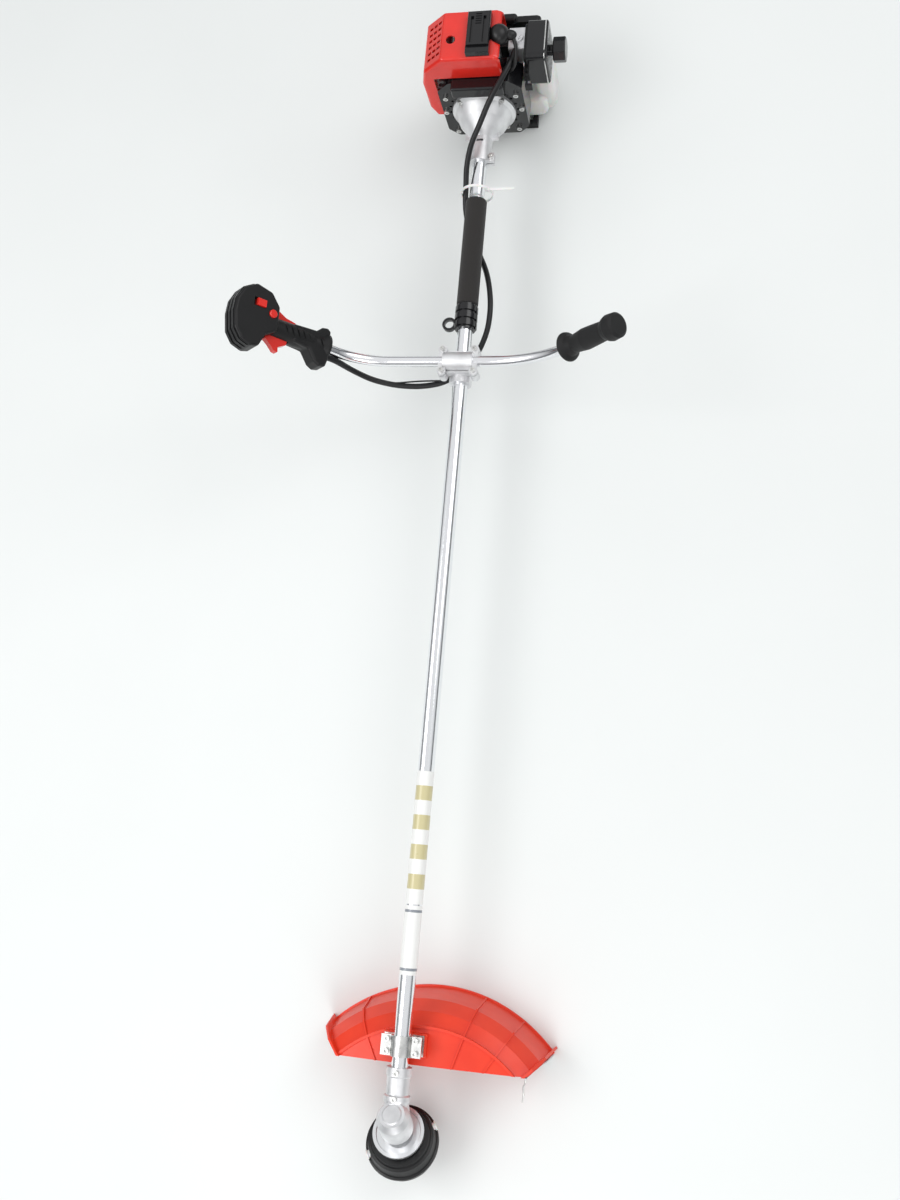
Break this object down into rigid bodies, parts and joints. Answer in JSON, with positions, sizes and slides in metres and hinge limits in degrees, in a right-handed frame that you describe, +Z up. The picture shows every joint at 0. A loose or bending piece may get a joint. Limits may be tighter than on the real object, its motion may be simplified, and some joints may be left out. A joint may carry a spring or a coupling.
{
  "type": "brush cutter",
  "caption": "Straight-shaft petrol brush cutter with bull-horn handlebar, orange guard and bump-feed trimmer head.",
  "frame": {"origin": "middle of the box's underside, on the floor that the machine lies on", "axes": "+X along the shaft to the trimmer head, +Z up, +Y to the plain grip's side"},
  "size_m": [1.9262, 0.6278, 0.3605],
  "materials": {
    "cast_aluminium": "satin",
    "bright_tube": "polished",
    "steel": "satin",
    "black_plastic": "satin",
    "red_plastic": "glossy",
    "orange_plastic": "satin",
    "foam": "matte",
    "black_rubber": "matte",
    "white_plastic": "satin",
    "red_rubber": "satin",
    "fan_alloy": "satin"
  },
  "bodies": {
    "machine": {"air_filter_base": "black_plastic", "air_filter_cover": "black_plastic", "air_filter_element": "foam", "bar_clamp_base": "cast_aluminium", "bar_clamp_cap": "cast_aluminium", "bar_clamp_screws": "steel", "cable_tie": "white_plastic", "carburettor": "cast_aluminium", "case_screws": "steel", "caution_label": "white_plastic", "clutch_housing": "cast_aluminium", "crankcase": "cast_aluminium", "cylinder": "cast_aluminium", "engine_shroud": "red_plastic", "engine_stand": "black_plastic", "fan_cover": "black_plastic", "foam_grip": "foam", "fuel_line": "red_rubber", "fuel_tank": "white_plastic", "gearbox_housing": "cast_aluminium", "guard": "orange_plastic", "guard_bracket_base": "steel", "guard_bracket_cap": "steel", "guard_screws": "steel", "handlebar": "bright_tube", "harness_hanger": "black_plastic", "intake_insulator": "black_plastic", "line_cutter": "steel", "maker_label": "white_plastic", "muffler": "steel", "plain_grip": "black_rubber", "shaft_bushes": "black_plastic", "shaft_tube": "bright_tube", "spark_plug": "steel", "spark_plug_cover": "black_plastic", "starter_housing": "black_plastic", "throttle_cable": "black_rubber", "throttle_housing": "black_plastic"},
    "drive_line": {"drive_shaft": "steel", "pinion": "steel", "clutch_drum": "steel"},
    "cutting_head": {"output_spindle": "steel", "head_flange": "cast_aluminium", "trimmer_head": "black_plastic", "line_eyelets": "white_plastic"},
    "bump_knob": {"bump_spool": "black_plastic"},
    "engine_rotor": {"crankshaft": "steel", "flywheel_fan": "fan_alloy", "clutch_shoes": "steel"},
    "starter_reel": {"starter_pulley": "black_plastic"},
    "starter_pull": {"starter_handle": "black_plastic"},
    "trigger": {"throttle_trigger": "red_plastic"},
    "lockout": {"lockout_lever": "red_plastic"},
    "hold": {"hold_button": "red_plastic"},
    "stop": {"stop_switch": "red_plastic"},
    "carb_throttle": {"throttle_arm": "cast_aluminium"},
    "choke": {"choke_lever": "black_plastic"},
    "primer": {"primer_bulb": "black_rubber"},
    "filter_knob": {"air_filter_knob": "black_plastic"},
    "cap": {"fuel_cap": "black_plastic"}
  },
  "joints": [
    {"name": "drive_shaft_spin", "type": "hinge", "parent": "machine", "child": "drive_line", "pos_m": [-0.70706, 0.03023, 0.132], "axis": [1, 0, 0], "continuous": true},
    {"name": "head_spin", "type": "hinge", "parent": "machine", "child": "cutting_head", "pos_m": [0.87094, 0.03023, 0.132], "axis": [0.515, 0, -0.8572], "continuous": true},
    {"name": "bump_press", "type": "slide", "parent": "cutting_head", "child": "bump_knob", "axis": [-0.515, 0, 0.8572], "range_m": [0, 0.005], "stiffness_N_per_m": 400},
    {"name": "engine_spin", "type": "hinge", "parent": "machine", "child": "engine_rotor", "pos_m": [-0.88706, 0.03023, 0.132], "axis": [1, 0, 0], "continuous": true},
    {"name": "starter_reel_spin", "type": "hinge", "parent": "machine", "child": "starter_reel", "pos_m": [-0.93956, 0.03023, 0.132], "axis": [1, 0, 0], "range_deg": [0, 1162]},
    {"name": "starter_pull_out", "type": "slide", "parent": "machine", "child": "starter_pull", "axis": [0, 0, 1], "range_m": [0, 0.7]},
    {"name": "trigger_pull", "type": "hinge", "parent": "machine", "child": "trigger", "pos_m": [-0.30806, -0.23441, 0.27264], "axis": [0, -0.7553, -0.6553], "range_deg": [0, 20], "stiffness_Nm_per_rad": 0.05},
    {"name": "lockout_press", "type": "hinge", "parent": "machine", "child": "lockout", "pos_m": [-0.33956, -0.22687, 0.26395], "axis": [0, 0.7553, 0.6553], "range_deg": [0, 10], "stiffness_Nm_per_rad": 0.05},
    {"name": "hold_press", "type": "slide", "parent": "machine", "child": "hold", "axis": [0, -0.7553, -0.6553], "range_m": [0, 0.003], "stiffness_N_per_m": 100},
    {"name": "stop_slide", "type": "slide", "parent": "machine", "child": "stop", "axis": [0, -0.6553, 0.7553], "range_m": [0, 0.004]},
    {"name": "carb_throttle_turn", "type": "hinge", "parent": "machine", "child": "carb_throttle", "pos_m": [-0.89306, 0.09423, 0.198], "axis": [0, 0, -1], "range_deg": [0, 70]},
    {"name": "choke_turn", "type": "hinge", "parent": "machine", "child": "choke", "pos_m": [-0.84106, 0.11123, 0.186], "axis": [0, 1, 0], "range_deg": [-30, 30]},
    {"name": "primer_press", "type": "slide", "parent": "machine", "child": "primer", "axis": [0, 0, 1], "range_m": [0, 0.005], "stiffness_N_per_m": 100},
    {"name": "filter_knob_turn", "type": "hinge", "parent": "machine", "child": "filter_knob", "pos_m": [-0.88706, 0.14823, 0.186], "axis": [0, 1, 0], "range_deg": [0, 360]},
    {"name": "fuel_cap_turn", "type": "hinge", "parent": "machine", "child": "cap", "pos_m": [-0.92106, 0.12223, 0.062], "axis": [0, 0, 1], "range_deg": [0, 360]}
  ],
  "couplings": [
    {"joint": "head_spin", "follows": "drive_shaft_spin", "ratio": 0.68421},
    {"joint": "carb_throttle_turn", "follows": "trigger_pull", "ratio": 3.5},
    {"joint": "starter_pull_out", "follows": "starter_reel_spin", "m_per_rad": 0.0345}
  ]
}
